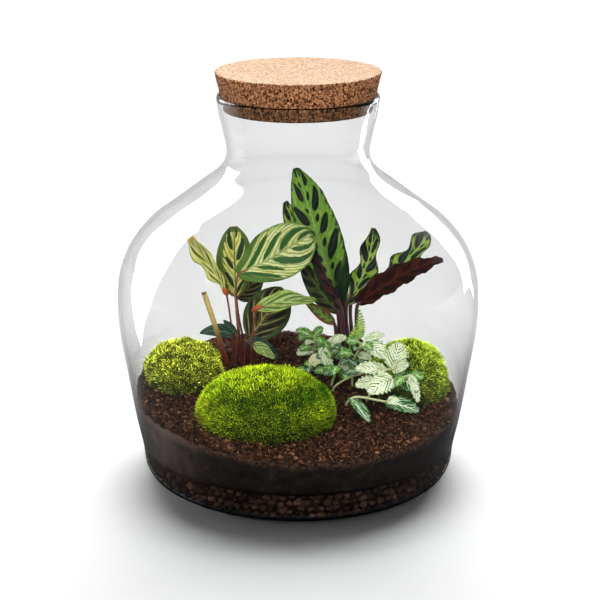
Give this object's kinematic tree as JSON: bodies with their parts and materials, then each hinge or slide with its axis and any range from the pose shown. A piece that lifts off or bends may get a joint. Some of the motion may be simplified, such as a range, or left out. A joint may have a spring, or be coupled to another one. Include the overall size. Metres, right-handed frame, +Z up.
{
  "type": "glass plant terrarium",
  "caption": "Bottle-shaped glass jar closed by a wide cork, holding pebbles, potting soil, moss cushions and small striped, spotted and white-veined foliage plants.",
  "frame": {"origin": "centre of the flat base of the jar, on the surface it stands on", "axes": "+Z up through the cork, +X to the right and +Y away from the viewer when the striped plant is on the left"},
  "size_m": [0.27, 0.27, 0.3035],
  "materials": {
    "glass": "polished",
    "cork": "matte",
    "pebbles": "matte",
    "soil": "matte",
    "moss_green": "matte",
    "moss_yellow": "matte",
    "leaf_cream": "satin",
    "leaf_brown": "satin",
    "leaf_teal": "satin",
    "stalk": "satin",
    "leaf_green": "satin",
    "leaf_purple": "satin",
    "leaf_white": "satin",
    "fern": "satin"
  },
  "bodies": {
    "root": {"cork_stopper": "cork", "drainage_pebbles": "pebbles", "fern_frond": "fern", "glass_jar": "glass", "moss_cushion_front": "moss_green", "moss_cushion_left": "moss_yellow", "moss_cushion_right": "moss_yellow", "nerve_sprig_back": "leaf_white", "nerve_sprig_centre": "leaf_white", "nerve_sprig_left": "leaf_white", "nerve_sprig_low": "leaf_white", "nerve_sprig_middle": "leaf_white", "nerve_sprig_right_high": "leaf_white", "nerve_sprig_right_low": "leaf_white", "nerve_sprig_trailing": "leaf_white", "peacock_cut_stalk": "stalk", "peacock_leaf_behind": "leaf_brown", "peacock_leaf_dark_left": "leaf_teal", "peacock_leaf_dark_low": "leaf_teal", "peacock_leaf_large": "leaf_cream", "peacock_leaf_light": "leaf_cream", "peacock_leaf_light_low": "leaf_cream", "peacock_leaf_narrow": "leaf_cream", "peacock_leaf_round": "leaf_brown", "peacock_leaf_small": "leaf_teal", "peacock_leaf_upright": "leaf_cream", "potting_soil": "soil", "rattlesnake_leaf_back_left": "leaf_green", "rattlesnake_leaf_back_right": "leaf_green", "rattlesnake_leaf_dark_left": "leaf_green", "rattlesnake_leaf_far_right": "leaf_green", "rattlesnake_leaf_low": "leaf_green", "rattlesnake_leaf_purple": "leaf_purple", "rattlesnake_leaf_rolled": "leaf_purple", "rattlesnake_leaf_small": "leaf_green", "rattlesnake_leaf_tall": "leaf_green"}
  },
  "joints": []
}
